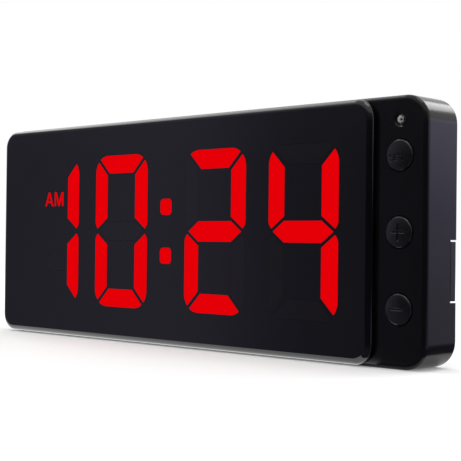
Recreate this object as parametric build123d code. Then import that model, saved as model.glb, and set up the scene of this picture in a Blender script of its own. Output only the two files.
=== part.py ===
from build123d import *
import math
import os

# A slim clock with a large four-digit lit display. A glossy window stands proud of a moulded case,
# and a control strip beside it carries three push buttons and a light sensor.
# Millimetres. X runs along the clock towards the buttons, the face looks along -Y and Z is up.
# The origin is the middle of the underside of the whole clock.

# Case: a tub that is open at the back. Its width and height follow from the display row below
case_depth = 20.0  # control strip face to rear rim
case_wall = 2.0
case_corner_r = 10.0
front_edge_r = 1.9
rear_edge_r = 0.6

# Window: a thick black plate glued on the front wall
window_raise = 3.5  # foremost face of the display to the control strip face
window_margin = 0.6  # case left showing above, below and left of the window
strip_width = 22.0  # control strip, right of the window
window_corner_r = 8.0
window_edge_r = 2.4
light_proud = 0.1  # lit windows stand this far out of the black plate
light_fit = 0.08  # gap round each lit window
gasket_thick = 0.3
gasket_inset = 2.4  # gasket edge inside the window edge

# Seven-segment digits
digit_width = 34.85
digit_height = 68.5
stroke = 8.05
bar_thick = 8.5  # middle bar
bar_tip_inset = 2.3  # tip of the middle bar inside the digit's outer edge
segment_gap = 1.05
upright_tip_r = 1.9
bar_tip_r = 1.15
pair_gap = 12.45  # between the two digits of a pair
colon_gap = 23.7  # between the two pairs
colon_width = 6.9
colon_height = 7.1
colon_corner_r = 1.9
colon_rise = 10.6  # dot centre from mid-height
mark_width = 14.6  # AM and PM windows
mark_height = 7.5
mark_corner_r = 0.8
mark_gap = 2.2  # to the half digit beside them
mark_rise = 15.2
row_left = 34.5  # window left of the AM and PM windows
row_right = 14.9  # window right of the last digit
row_above = 15.75  # case above and below the digits

# Display stack behind the window
reflector_thick = 3.5
reflector_rim = 4.0  # reflector outside the digits and marks
display_corner_r = 4.0
cell_rim = 0.5  # wall that hides a cell's edge behind its window
cell_draft = 14.0  # degrees
board_thick = 1.6
board_corner_r = 1.5
board_lap = 4.0  # display board over the edge of the front wall's opening
led_width = 2.8
led_length = 3.5
led_height = 1.2
led_spread = 0.2  # lamp from the segment's middle, of the segment's length

# Buttons and their switches
button_inset = 11.7  # button axis from the case's right end
button_spread = 0.28  # from button to button, of the case's height
cap_r = 5.8
cap_crown = 1.3  # crown above the strip face
cap_rim = 0.8  # edge of the cap above the strip face
cap_edge_r = 0.35
cap_gap = 0.3  # cap to its hole
flange_r = 6.8
flange_thick = 1.0
flange_gap = 0.2  # flange to the front wall when released
post_r = 2.3
plunger_r = 1.7
plunger_reach = 1.0  # plunger out of the switch
plunger_hold = 1.0  # plunger inside the switch
plunger_gap = 0.1
switch_width = 6.0
switch_height = 3.5
switch_pocket = 1.9
switch_chamfer = 0.5
plunger_chamfer = 0.2
button_post = 1.1  # post below the flange
button_travel = 0.5

# Light sensor
sensor_inset = 9.0  # below the top of the case
lens_r = 1.7
lens_dome = 1.0
lens_sink = -0.35  # lens tip below the strip face, so a minus stands it out
lens_gap = 0.2
lens_flange_r = 2.2
lens_flange_thick = 0.8
dish_r = 2.8
dish_depth = 0.4
dish_floor_r = 2.2
tube_wall = 0.9
tube_length = 1.5
lead_size = 0.5
lead_spacing = 2.0
lead_tail = 0.8

# Boards' fixings
button_board_width = 15.0
button_board_foot = 8.0  # board below the lowest button's axis
button_board_head = 4.0  # board above the sensor's axis
link_rim = 0.5  # button board's ear beyond the header
link_ear_height = 18.0
link_rise = 16.0  # above mid-height
link_width = 2.5
link_length = 15.2
link_lap = 2.0  # header from the display board's right edge
pad_r = 2.5
board_screw_r = 1.0
board_screw_head_r = 1.9
board_screw_head = 1.3
board_screw_bite = 2.4
blind_spare = 0.3  # blind hole beyond its screw
board_hole_gap = 0.15
thread_gap = 0.05
pad_inset = 3.0  # board screw from the board's edge

# Rear cover and its screws
cover_thick = 2.0
cover_gap = 0.25
seat_depth = 3.5  # rear face to the top of the case bosses
boss_r = 2.7
boss_relief = 0.4  # notch in the display board round a boss
boss_inset = 3.2  # boss axis from the inside of the wall
boss_left = 13.0  # outer boss row from the case's left end
boss_right = 23.5  # outer boss row from the case's right end
cover_screw_r = 1.25
cover_screw_head_r = 2.2
cover_screw_head = 1.5
cover_screw_length = 9.0
head_gap = 0.3
counterbore_depth = 2.0

# Screw heads, as shares of the head's height and radius
head_bevel = 0.3
recess_depth = 0.5
recess_span = 1.1
recess_width = 0.28

# Parts on the back of the display board
chip_chamfer = 0.3
crystal_x = -14.0
crystal_drop = 12.0
crystal_length = 11.0
crystal_width = 4.6
crystal_thick = 3.6
can_x = 24.0
can_drop = 14.0
can_r = 3.15
can_height = 7.7
can_edge = 0.5
can_foot = 6.6
can_foot_thick = 0.9

# Keyholes for hanging
keyhole_spacing = 150.0
keyhole_rise = 26.0  # entry above mid-height
keyhole_entry_r = 4.2
keyhole_slot = 4.2
keyhole_drop = 8.0  # how far the clock drops onto its screws

# Battery bay for two AAA cells and its sliding door
cell_r = 5.05
cell_length = 44.5
nub_r = 1.8
nub_length = 0.9
cell_edge = 0.4  # bevel round a cell's ends
bay_drop = 14.2  # bay axis below mid-height
bay_wall = 1.2
bay_clear = 0.4  # round the cells
cell_seat = 0.1  # cells above the bay's floor
bay_end_inset = 21.9  # bay's right end from the case's right end
contact_thick = 0.4
contact_width = 7.0
spring_reach = 2.4
plate_reach = 0.7
dimple_r = 1.4
battery_lead_r = 0.6
battery_lead_run = 5.0
battery_lead_bend = 2.2
battery_lead_gap = 0.15
door_thick = 1.5
door_gap = 0.3
door_lap = 0.1  # door past each side of the bay
door_end_lap = 1.6  # door past the bay's left end
flange_height = 21.9
door_flange_thick = 1.8
door_flange_depth = 3.6
door_flush = 0.2  # flange inside the case's side face
slit = 0.6  # see-through gap round the flange
tongue_proud = 0.8
tongue_thick = 0.6
tongue_end_inset = 7.0  # tongue's right end from the case's right end
lead_in = 1.25  # widened end of the door recess
grip_count = 4
grip_pitch = 3.0
grip_width = 1.0
grip_depth = 0.4
grip_inset = 6.0
grip_span = 0.7  # of the door's width

# Power inlet
inlet_x = -60.0
inlet_drop = 22.0  # below mid-height
inlet_width = 9.0
inlet_height = 3.2
inlet_wall = 0.3
inlet_mouth_depth = 6.5
inlet_tongue_width = 6.7
inlet_tongue_thick = 0.7
inlet_tongue_sink = 0.6  # tongue's end inside the mouth
well_width = 17.0
well_height = 9.0
well_corner_r = 2.0
well_depth = 2.0
well_floor = 1.2
inlet_gap = 0.2

# For cutting and finding
past = 1.0  # how far a cut runs beyond a face
near = 0.01

# Levels along Y
total_depth = case_depth + window_raise
y_face = -total_depth / 2
y_rear = total_depth / 2
y_window = y_face + light_proud
y_strip = y_face + window_raise
y_window_back = y_strip - gasket_thick
y_wall = y_strip + case_wall
y_board = y_strip + reflector_thick
y_board_back = y_board + board_thick
y_flange = y_wall + flange_gap
y_flange_back = y_flange + flange_thick
y_post = y_flange_back + button_post
y_switch = y_post + plunger_reach
y_button_board = y_switch + switch_height
y_button_board_back = y_button_board + board_thick
y_cover = y_rear - cover_thick
y_seat = y_rear - seat_depth
y_head = y_rear - counterbore_depth
y_door = y_rear - door_thick
y_ledge = y_door - door_gap
y_ledge_back = y_ledge - bay_wall
y_bay = y_door - bay_clear - 2 * cell_r
y_well = y_rear - well_depth

# Places along X and Z. The display row sets the window, and the window sets the case
digit_pitch = digit_width + pair_gap
row_width = mark_width + mark_gap + stroke + 2 * digit_pitch + colon_gap + digit_width
case_width = window_margin + row_left + row_width + row_right + strip_width
case_height = digit_height + 2 * row_above
mid_z = case_height / 2
case_right = case_width / 2
window_left = -case_right + window_margin
window_right = case_right - strip_width
window_top = case_height - window_margin
window_bottom = window_margin
mark_x = window_left + row_left + mark_width / 2
first_left_digit = mark_x + mark_width / 2 + mark_gap + stroke + pair_gap + digit_width / 2
colon_x = first_left_digit + digit_width / 2 + colon_gap / 2
first_right_digit = colon_x + colon_gap / 2 + digit_width / 2
button_x = case_right - button_inset
button_pitch = button_spread * case_height
sensor_z = case_height - sensor_inset
display_left = mark_x - mark_width / 2 - reflector_rim
display_right = first_right_digit + digit_pitch + digit_width / 2 + reflector_rim
display_half = digit_height / 2 + reflector_rim
board_left = display_left - board_lap
board_right = display_right + board_lap
board_half = display_half + board_lap
link_right = board_right - link_lap
link_left = link_right - link_width
inner_half_width = case_right - case_wall
inner_half_height = mid_z - case_wall
cover_half_width = inner_half_width - cover_gap
bay_z = mid_z - bay_drop
bay_right = case_right - bay_end_inset
bay_left = bay_right - cell_length - spring_reach - plate_reach
bay_half = 2 * cell_r + bay_clear
door_left = bay_left - door_end_lap
door_half = bay_half + door_lap
groove_half = door_half + tongue_proud + door_gap
flange_out = case_right - door_flush
flange_in = flange_out - door_flange_thick

# Which segments each digit lights, and where the digits stand
digits = [
    (first_left_digit - digit_pitch, "bc", ""),
    (first_left_digit, "abcdef", "g"),
    (first_right_digit, "abdeg", "cf"),
    (first_right_digit + digit_pitch, "bcfg", "ade"),
]

# Chips on the display board: X, rise above mid-height, width, height, thickness
chips = [
    (-30.0, 14.0, 10.3, 7.5, 2.2),
    (8.0, 14.0, 10.3, 7.5, 2.2),
    (-30.0, -12.0, 7.0, 7.0, 1.2),
]


def slab(outline, y_front, y_back):
    """An outline drawn as X and Z, made solid from y_front to y_back."""
    placed = Plane.XZ.offset(-y_back) * outline
    return extrude(placed, amount=y_back - y_front, dir=(0, -1, 0))


def rod(x, z, r, y_front, y_back):
    """A round bar along Y."""
    return slab(Pos(x, z) * Circle(r), y_front, y_back)


def block(x0, x1, y0, y1, z0, z1):
    """A box given by its corners."""
    return Pos((x0 + x1) / 2, (y0 + y1) / 2, (z0 + z1) / 2) * Box(x1 - x0, y1 - y0, z1 - z0)


def panel(x0, x1, z0, z1, corner_r):
    """A rounded rectangle given by its corners."""
    middle = Pos((x0 + x1) / 2, (z0 + z1) / 2)
    return middle * RectangleRounded(x1 - x0, z1 - z0, corner_r)


def turned(points, x, z):
    """A body of revolution about a line along Y. Points are radius and Y."""
    profile = make_face(Polyline(*points, close=True))
    return Pos(x, 0, z) * revolve(profile, Axis.Y)


def dome(r, y_top, rise):
    """A crown's arc from the axis at y_top out to radius r, a rise further back."""
    ball_r = (r**2 + rise**2) / (2 * rise)
    half_angle = math.asin(r / ball_r) / 2
    middle = (ball_r * math.sin(half_angle), y_top + ball_r * (1 - math.cos(half_angle)))
    return ThreePointArc((0, y_top), middle, (r, y_top + rise))


def joined(pieces):
    """Separate solids kept side by side in one node."""
    return Compound(children=[solid for piece in pieces for solid in piece.solids()])


# Digits


def upright_outline(side, rise, rounded):
    """An upright segment: side is 1 for right and -1 for left, rise is 1 for upper and -1 for lower."""
    outer = digit_width / 2
    inner = outer - stroke
    slope = bar_thick / 2 / (stroke - bar_tip_inset)
    bar_gap = segment_gap * math.hypot(1, slope)
    inner_end = bar_thick / 2 + bar_gap
    points = [
        (outer, digit_height / 2),
        (inner, digit_height / 2 - stroke),
        (inner, inner_end),
        (outer, inner_end - slope * stroke),
    ]
    outline = make_face(Polyline(*[(side * x, rise * z) for x, z in points], close=True))
    if rounded:
        corners = outline.vertices().filter_by_position(Axis.X, side * outer - near, side * outer + near)
        outline = fillet(corners, upright_tip_r)
    return outline


def bar_outline(rise, rounded):
    """The top bar (rise 1) or the bottom bar (rise -1), mitred at 45 degrees beside the uprights."""
    outer = digit_width / 2 - segment_gap * math.sqrt(2)
    top = digit_height / 2
    points = [(-outer, top), (outer, top), (outer - stroke, top - stroke), (stroke - outer, top - stroke)]
    outline = make_face(Polyline(*[(x, rise * z) for x, z in points], close=True))
    if rounded:
        corners = outline.vertices().filter_by_position(Axis.Y, rise * top - near, rise * top + near)
        outline = fillet(corners, bar_tip_r)
    return outline


def middle_outline():
    """The middle bar, a long hexagon."""
    tip = digit_width / 2 - bar_tip_inset
    shoulder = digit_width / 2 - stroke
    half = bar_thick / 2
    upper = [(-tip, 0), (-shoulder, half), (shoulder, half)]
    lower = [(-x, -z) for x, z in upper]
    return make_face(Polyline(*upper, *lower, close=True))


def segment(name, rounded=True):
    """The outline of segment a to g about the middle of its digit."""
    outlines = {
        "a": lambda: bar_outline(1, rounded),
        "b": lambda: upright_outline(1, 1, rounded),
        "c": lambda: upright_outline(1, -1, rounded),
        "d": lambda: bar_outline(-1, rounded),
        "e": lambda: upright_outline(-1, -1, rounded),
        "f": lambda: upright_outline(-1, 1, rounded),
        "g": lambda: middle_outline(),
    }
    return outlines[name]()


def segments_at(which, rounded=True):
    """Placed outlines of the lit (1), unlit (2) or all (0) segments."""
    placed = []
    for row in digits:
        names = row[1] + row[2] if which == 0 else row[which]
        placed += [Pos(row[0], mid_z) * segment(name, rounded) for name in names]
    return placed


def colon_outlines():
    dot = RectangleRounded(colon_width, colon_height, colon_corner_r)
    return [Pos(colon_x, mid_z + rise) * dot for rise in (colon_rise, -colon_rise)]


def mark_outlines():
    mark = RectangleRounded(mark_width, mark_height, mark_corner_r)
    return [Pos(mark_x, mid_z + rise) * mark for rise in (mark_rise, -mark_rise)]


def light_windows(outlines, proud):
    """Clear prisms that fill their apertures but for a narrow gap."""
    return joined([slab(offset(one, -light_fit), y_window - proud, y_window_back) for one in outlines])


# Window and display stack


def window_outline(inset):
    return panel(
        window_left + inset,
        window_right - inset,
        window_bottom + inset,
        window_top - inset,
        window_corner_r - inset,
    )


def display_window():
    plate = slab(window_outline(0), y_window, y_window_back)
    front_edges = plate.edges().group_by(Axis.Y)[0]
    plate = fillet(front_edges, window_edge_r)
    for outline in segments_at(0) + colon_outlines() + mark_outlines():
        plate -= slab(outline, y_window - past, y_window_back + past)
    return plate


def display_panel(grow):
    """The outline of everything that fills the front wall's opening."""
    return panel(
        display_left - grow,
        display_right + grow,
        mid_z - display_half - grow,
        mid_z + display_half + grow,
        display_corner_r,
    )


def window_gasket():
    return slab(window_outline(gasket_inset), y_window_back, y_strip) - slab(
        display_panel(cap_gap), y_window_back, y_strip
    )


def diffuser_sheet():
    return slab(display_panel(0), y_window_back, y_strip)


def reflector():
    plate = slab(display_panel(0), y_strip, y_board)
    shrink = cell_rim + reflector_thick * math.tan(math.radians(cell_draft))
    for outline in segments_at(0, rounded=False) + colon_outlines() + mark_outlines():
        floor = Plane.XZ.offset(-y_board) * offset(outline, -shrink, kind=Kind.INTERSECTION)
        plate -= extrude(floor, amount=reflector_thick, taper=-cell_draft)
    return plate


def led_spots():
    """Two lamps along each segment and one behind each dot and mark."""
    spots = []
    for outline in segments_at(0, rounded=False):
        box = outline.bounding_box()
        upright = box.size.Y > box.size.X
        reach = led_spread * max(box.size.X, box.size.Y)
        for way in (-1, 1):
            dx = 0 if upright else way * reach
            dz = way * reach if upright else 0
            spots.append((box.center().X + dx, box.center().Y + dz, upright))
    for outline in colon_outlines() + mark_outlines():
        centre = outline.bounding_box().center()
        spots.append((centre.X, centre.Y, False))
    return spots


def segment_leds():
    lamps = []
    for x, z, upright in led_spots():
        width = led_width if upright else led_length
        height = led_length if upright else led_width
        lamps.append(slab(Pos(x, z) * Rectangle(width, height), y_board - led_height, y_board))
    return joined(lamps)


def board_screw_spots():
    xs = (board_left + pad_inset, board_right - pad_inset)
    zs = (mid_z - board_half + pad_inset, mid_z + board_half - pad_inset)
    return [(x, z) for x in xs for z in zs]


def display_board():
    outline = panel(board_left, board_right, mid_z - board_half, mid_z + board_half, board_corner_r)
    board = slab(outline, y_board, y_board_back)
    for x, z in board_screw_spots():
        board -= rod(x, z, board_screw_r + board_hole_gap, y_board - past, y_board_back + past)
    for x, z in boss_spots():
        board -= rod(x, z, boss_r + boss_relief, y_board - past, y_board_back + past)
    return board


def driver_chips():
    """Two packaged drivers and the clock chip on the back of the display board."""
    bodies = []
    for x, rise, width, height, thick in chips:
        body = slab(Pos(x, mid_z + rise) * Rectangle(width, height), y_board_back, y_board_back + thick)
        bodies.append(chamfer(body.edges().group_by(Axis.Y)[-1], chip_chamfer))
    return joined(bodies)


def clock_crystal():
    outline = Pos(crystal_x, mid_z - crystal_drop) * SlotOverall(crystal_length, crystal_width, rotation=90)
    return slab(outline, y_board_back, y_board_back + crystal_thick)


def smoothing_capacitor():
    z = mid_z - can_drop
    y_foot = y_board_back + can_foot_thick
    can = rod(can_x, z, can_r, y_foot, y_board_back + can_height)
    can = chamfer(can.edges().group_by(Axis.Y)[-1], can_edge)
    return can + slab(Pos(can_x, z) * Rectangle(can_foot, can_foot), y_board_back, y_foot)


# Case


def boss_spots():
    xs = (-case_right + boss_left, (boss_left - boss_right) / 2, case_right - boss_right)
    zs = (case_wall + boss_inset, case_height - case_wall - boss_inset)
    return [(x, z) for x in xs for z in zs]


def button_heights():
    return {"set": mid_z + button_pitch, "plus": mid_z, "minus": mid_z - button_pitch}


def button_board_spots():
    return [(button_x, mid_z + way * button_pitch / 2) for way in (-1, 1)]


def case_shell():
    outer = slab(panel(-case_right, case_right, 0, case_height, case_corner_r), y_strip, y_rear)
    outer = fillet(outer.edges().group_by(Axis.Y)[0], front_edge_r)
    outer = fillet(outer.edges().group_by(Axis.Y)[-1], rear_edge_r)
    hollow = panel(
        -inner_half_width,
        inner_half_width,
        case_wall,
        case_height - case_wall,
        case_corner_r - case_wall,
    )
    return outer - slab(hollow, y_wall, y_rear + past)


def sensor_seat(case):
    """A dished hole in the strip with a short tube behind it for the sensor's flange."""
    y_floor = y_strip + dish_depth
    tube_r = lens_flange_r + lens_gap
    case += rod(button_x, sensor_z, tube_r + tube_wall, y_wall, y_wall + tube_length)
    case -= rod(button_x, sensor_z, tube_r, y_wall, y_wall + tube_length)
    y_out = y_strip - past
    dish = [(0, y_out), (dish_r, y_out), (dish_r, y_strip), (dish_floor_r, y_floor), (0, y_floor)]
    case -= turned(dish, button_x, sensor_z)
    return case - rod(button_x, sensor_z, lens_r + lens_gap, y_strip, y_wall)


def front_case():
    case = case_shell()
    case -= slab(display_panel(cap_gap), y_strip - past, y_wall + past)
    for x, z in boss_spots():
        case += rod(x, z, boss_r, y_wall, y_seat)
        case -= rod(x, z, cover_screw_r + thread_gap, y_head - cover_screw_length - past, y_seat + past)
    for x, z in board_screw_spots():
        case += rod(x, z, pad_r, y_wall, y_board)
        hole_end = y_board - board_screw_bite - blind_spare
        case -= rod(x, z, board_screw_r + thread_gap, hole_end, y_board + past)
    for x, z in button_board_spots():
        case += rod(x, z, pad_r, y_wall, y_button_board)
        hole_end = y_button_board - board_screw_bite - blind_spare
        case -= rod(x, z, board_screw_r + thread_gap, hole_end, y_button_board + past)
    for z in button_heights().values():
        case -= rod(button_x, z, cap_r + cap_gap, y_strip - past, y_wall + past)
    case = sensor_seat(case)
    notch_half = flange_height / 2 + slit
    y_notch = y_rear - door_flange_depth - slit
    notch = block(
        inner_half_width - past,
        case_right + past,
        y_notch,
        y_rear + past,
        bay_z - notch_half,
        bay_z + notch_half,
    )
    return case - notch


# Buttons


def button(z):
    """A domed cap with a retaining flange and a post, turned as one piece."""
    crown = dome(cap_r, y_strip - cap_crown, cap_crown - cap_rim)
    y_rim = y_strip - cap_rim
    stem = Polyline(
        (cap_r, y_rim),
        (cap_r, y_flange),
        (flange_r, y_flange),
        (flange_r, y_flange_back),
        (post_r, y_flange_back),
        (post_r, y_post),
        (0, y_post),
        (0, y_strip - cap_crown),
    )
    profile = make_face(Wire([*crown.edges(), *stem.edges()]))
    rim = [corner for corner in profile.vertices() if math.dist((corner.X, corner.Y), (cap_r, y_rim)) < near]
    profile = fillet(rim, cap_edge_r)
    return Pos(button_x, 0, z) * revolve(profile, Axis.Y)


def plunger(z):
    stem = rod(button_x, z, plunger_r, y_post, y_switch + plunger_hold)
    return chamfer(stem.edges().group_by(Axis.Y)[-1], plunger_chamfer)


def tact_switches():
    switches = []
    for z in button_heights().values():
        outline = Pos(button_x, z) * Rectangle(switch_width, switch_width)
        body = slab(outline, y_switch, y_button_board)
        body = chamfer(body.edges().filter_by(Axis.Y), switch_chamfer)
        pocket = rod(button_x, z, plunger_r + plunger_gap, y_switch - past, y_switch + switch_pocket)
        switches.append(body - pocket)
    return joined(switches)


def button_board():
    """A narrow board behind the strip, with an ear over the display board for the link."""
    half = button_board_width / 2
    foot = mid_z - button_pitch - button_board_foot
    head = sensor_z + button_board_head
    outline = panel(button_x - half, button_x + half, foot, head, board_corner_r)
    ear_z = mid_z + link_rise
    ear = panel(
        link_left - link_rim,
        button_x,
        ear_z - link_ear_height / 2,
        ear_z + link_ear_height / 2,
        board_corner_r,
    )
    board = slab(outline + ear, y_button_board, y_button_board_back)
    for x, z in button_board_spots():
        board -= rod(x, z, board_screw_r + board_hole_gap, y_button_board - past, y_button_board_back + past)
    hole = lead_size / 2 + board_hole_gap
    for x in lead_places():
        z0 = sensor_z - hole
        z1 = sensor_z + hole
        board -= block(x - hole, x + hole, y_button_board, y_button_board_back, z0, z1)
    return board


def board_link():
    """A pin header that joins the two boards where they lap."""
    z0 = mid_z + link_rise - link_length / 2
    return block(link_left, link_right, y_board_back, y_button_board, z0, z0 + link_length)


def light_sensor():
    """A domed lens with a flange behind the wall."""
    y_tip = y_strip + lens_sink
    y_flange_end = y_wall + lens_flange_thick
    crown = dome(lens_r, y_tip, lens_dome)
    stem = Polyline(
        (lens_r, y_tip + lens_dome),
        (lens_r, y_wall),
        (lens_flange_r, y_wall),
        (lens_flange_r, y_flange_end),
        (0, y_flange_end),
        (0, y_tip),
    )
    profile = make_face(Wire([*crown.edges(), *stem.edges()]))
    return Pos(button_x, 0, sensor_z) * revolve(profile, Axis.Y)


def lead_places():
    return (button_x - lead_spacing / 2, button_x + lead_spacing / 2)


def sensor_leads():
    half = lead_size / 2
    z0 = sensor_z - half
    z1 = sensor_z + half
    y0 = y_wall + lens_flange_thick
    y1 = y_button_board_back + lead_tail
    return joined([block(x - half, x + half, y0, y1, z0, z1) for x in lead_places()])


# Screws


def screw(x, z, y_under_head, shank_r, length, head_r, head):
    """A pan-head screw driven from behind, with a cross recess."""
    shank = rod(x, z, shank_r, y_under_head - length, y_under_head)
    cap = rod(x, z, head_r, y_under_head, y_under_head + head)
    cap = chamfer(cap.edges().group_by(Axis.Y)[-1], head * head_bevel)
    long = head_r * recess_span
    narrow = head_r * recess_width
    cross = Rectangle(long, narrow) + Rectangle(narrow, long)
    cap -= slab(Pos(x, z) * cross, y_under_head + head * recess_depth, y_under_head + head + past)
    return shank + cap


def case_screws():
    size = (cover_screw_r, cover_screw_length, cover_screw_head_r, cover_screw_head)
    return joined([screw(x, z, y_head, *size) for x, z in boss_spots()])


def board_screws():
    length = board_thick + board_screw_bite
    size = (board_screw_r, length, board_screw_head_r, board_screw_head)
    display = [screw(x, z, y_board_back, *size) for x, z in board_screw_spots()]
    buttons = [screw(x, z, y_button_board_back, *size) for x, z in button_board_spots()]
    return joined(display + buttons)


# Rear cover


def keyhole_places():
    return (-keyhole_spacing / 2, keyhole_spacing / 2)


def keyhole(x):
    entry_z = mid_z + keyhole_rise
    slot_top = entry_z + keyhole_drop
    slot = Pos(x, (entry_z + slot_top) / 2) * Rectangle(keyhole_slot, keyhole_drop)
    outline = Pos(x, entry_z) * Circle(keyhole_entry_r) + slot
    return outline + Pos(x, slot_top) * Circle(keyhole_slot / 2)


def bay_well():
    return block(
        bay_left - bay_wall,
        bay_right + bay_wall,
        y_bay - bay_wall,
        y_ledge_back + bay_wall / 2,
        bay_z - bay_half - bay_wall,
        bay_z + bay_half + bay_wall,
    )


def cut_door_way(cover):
    """The sunk way of the door: a recess, side grooves, a wide end at the case side and the bay."""
    x_end = cover_half_width + past
    recess_half = door_half + door_gap
    x_start = door_left - door_gap
    cover -= block(x_start, x_end, y_ledge, y_rear + past, bay_z - recess_half, bay_z + recess_half)
    y_groove = y_door + tongue_thick + door_gap
    cover -= block(x_start, x_end, y_ledge, y_groove, bay_z - groove_half, bay_z + groove_half)
    wide_half = flange_height / 2 + slit
    x_wide = cover_half_width - lead_in
    cover -= block(x_wide, x_end, y_ledge, y_rear + past, bay_z - wide_half, bay_z + wide_half)
    return cover - block(bay_left, bay_right, y_bay, y_rear, bay_z - bay_half, bay_z + bay_half)


def cut_inlet(cover):
    z = mid_z - inlet_drop
    rim = well_floor
    well = Pos(inlet_x, z) * RectangleRounded(well_width, well_height, well_corner_r)
    outer_size = (well_width + 2 * rim, well_height + 2 * rim, well_corner_r + rim)
    outer = Pos(inlet_x, z) * RectangleRounded(*outer_size)
    cover += slab(outer, y_well - well_floor, y_cover)
    cover -= slab(well, y_well, y_rear + past)
    mouth = SlotOverall(inlet_width + 2 * inlet_gap, inlet_height + 2 * inlet_gap)
    return cover - slab(Pos(inlet_x, z) * mouth, y_well - well_floor - past, y_well + past)


def rear_cover():
    half_height = inner_half_height - cover_gap
    corner = case_corner_r - case_wall - cover_gap
    outline = panel(-cover_half_width, cover_half_width, mid_z - half_height, mid_z + half_height, corner)
    cover = slab(outline, y_cover, y_rear)
    sunk = groove_half + bay_wall
    cover += block(
        door_left - door_gap - bay_wall, cover_half_width, y_ledge_back, y_cover, bay_z - sunk, bay_z + sunk
    )
    cover += bay_well()
    for x, z in boss_spots():
        cover += rod(x, z, boss_r, y_seat, y_cover)
    cover = cut_door_way(cover)
    cover = cut_inlet(cover)
    for z, _ in bay_rows():
        hole = Cylinder(battery_lead_r + battery_lead_gap, 3 * bay_wall, rotation=(0, 90, 0))
        cover -= Pos(bay_left - bay_wall, cell_axis_y(), z) * hole
    for x, z in boss_spots():
        cover -= rod(x, z, cover_screw_r + board_hole_gap, y_seat - past, y_rear + past)
        cover -= rod(x, z, cover_screw_head_r + head_gap, y_head, y_rear + past)
    for x in keyhole_places():
        cover -= slab(keyhole(x), y_cover - past, y_rear + past)
    return cover


def battery_door():
    plate = block(door_left, flange_out, y_door, y_rear, bay_z - door_half, bay_z + door_half)
    tongue_half = door_half + tongue_proud
    tongue_right = case_right - tongue_end_inset
    plate += block(
        door_left, tongue_right, y_door, y_door + tongue_thick, bay_z - tongue_half, bay_z + tongue_half
    )
    z0 = bay_z - flange_height / 2
    z1 = bay_z + flange_height / 2
    flange = block(flange_in, flange_out, y_rear - door_flange_depth, y_rear, z0, z1)
    door = plate + flange
    outer_edge = door.edges().filter_by(Axis.Z).group_by(Axis.X)[-1].group_by(Axis.Y)[-1]
    door = fillet(outer_edge, rear_edge_r)
    for index in range(grip_count):
        x = flange_out - grip_inset - index * grip_pitch
        groove = Pos(x, bay_z) * SlotOverall(2 * door_half * grip_span, grip_width, rotation=90)
        door -= slab(groove, y_rear - grip_depth, y_rear + past)
    return door


# Cells, contacts and leads


def bay_rows():
    """Axis height of each cell and the side its positive end faces."""
    return ((bay_z + cell_r + bay_clear / 4, 1), (bay_z - cell_r - bay_clear / 4, -1))


def cell_axis_y():
    return y_bay + cell_seat + cell_r


def aaa_cells():
    """Two cells the opposite way round: a jacket with bevelled ends and a raised positive end."""
    cells = []
    jacket_length = cell_length - nub_length
    for z, side in bay_rows():
        jacket = Cylinder(cell_r, jacket_length, rotation=(0, 90, 0))
        jacket = chamfer(jacket.edges().filter_by(GeomType.CIRCLE), cell_edge)
        nub = Pos(side * cell_length / 2, 0, 0) * Cylinder(nub_r, nub_length, rotation=(0, 90, 0))
        x_plus = bay_right - plate_reach if side > 0 else bay_left + plate_reach
        x_jacket = x_plus - side * (nub_length + jacket_length / 2)
        cells.append(Pos(x_jacket, cell_axis_y(), z) * (jacket + nub))
    return joined(cells)


def contact_plate(x_wall, inward, z):
    """A flat tin plate on the bay's end wall, dimpled towards the cell."""
    y = cell_axis_y()
    half = contact_width / 2
    x_face = x_wall + inward * contact_thick
    plate = block(min(x_wall, x_face), max(x_wall, x_face), y - half, y + half, z - half, z + half)
    reach = plate_reach - contact_thick
    dimple = Pos(x_face + inward * reach / 2, y, z) * Cylinder(dimple_r, reach, rotation=(0, 90, 0))
    return plate + dimple


def contact_spring(x_wall, inward, z):
    """A strip folded forward into a leaf that presses on the cell's flat end."""
    y = cell_axis_y()
    half = contact_width / 2
    foot = x_wall + inward * contact_thick / 2
    tip = x_wall + inward * (spring_reach - contact_thick / 2)
    line = Polyline((foot, y + half), (foot, y - half), (tip, y - half / 4), (tip, y + half / 4))
    strip = trace(line, contact_thick)
    return Pos(0, 0, z - contact_width / 4) * extrude(strip, amount=contact_width / 2, dir=(0, 0, 1))


def bridge_contact():
    """One piece at the right end: a plate for the upper cell joined to a spring for the lower cell."""
    upper, lower = bay_rows()[0][0], bay_rows()[1][0]
    y = cell_axis_y()
    strap = block(
        bay_right - contact_thick, bay_right, y - contact_width / 2, y + contact_width / 2, lower, upper
    )
    return contact_plate(bay_right, -1, upper) + strap + contact_spring(bay_right, -1, lower)


def spring_contact():
    return contact_spring(bay_left, 1, bay_rows()[0][0])


def plate_contact():
    return contact_plate(bay_left, 1, bay_rows()[1][0])


def battery_leads():
    """Two insulated wires from the left-hand contacts, through the bay's end wall, to the display board."""
    x_bend = bay_left - battery_lead_run
    y = cell_axis_y()
    leads = []
    for z, _ in bay_rows():
        route = [(bay_left, y, z), (x_bend, y, z), (x_bend, y_board_back, z)]
        path = FilletPolyline(*route, radius=battery_lead_bend)
        section = Plane(origin=route[0], z_dir=(-1, 0, 0)) * Circle(battery_lead_r)
        leads.append(sweep(section, path=path))
    return joined(leads)


def power_inlet():
    """A drawn metal shell with a tongue, standing on the display board."""
    z = mid_z - inlet_drop
    shell = slab(Pos(inlet_x, z) * SlotOverall(inlet_width, inlet_height), y_board_back, y_well)
    mouth = SlotOverall(inlet_width - 2 * inlet_wall, inlet_height - 2 * inlet_wall)
    shell -= slab(Pos(inlet_x, z) * mouth, y_well - inlet_mouth_depth, y_well + past)
    tongue = Pos(inlet_x, z) * Rectangle(inlet_tongue_width, inlet_tongue_thick)
    return shell + slab(tongue, y_well - inlet_mouth_depth, y_well - inlet_tongue_sink)


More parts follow.
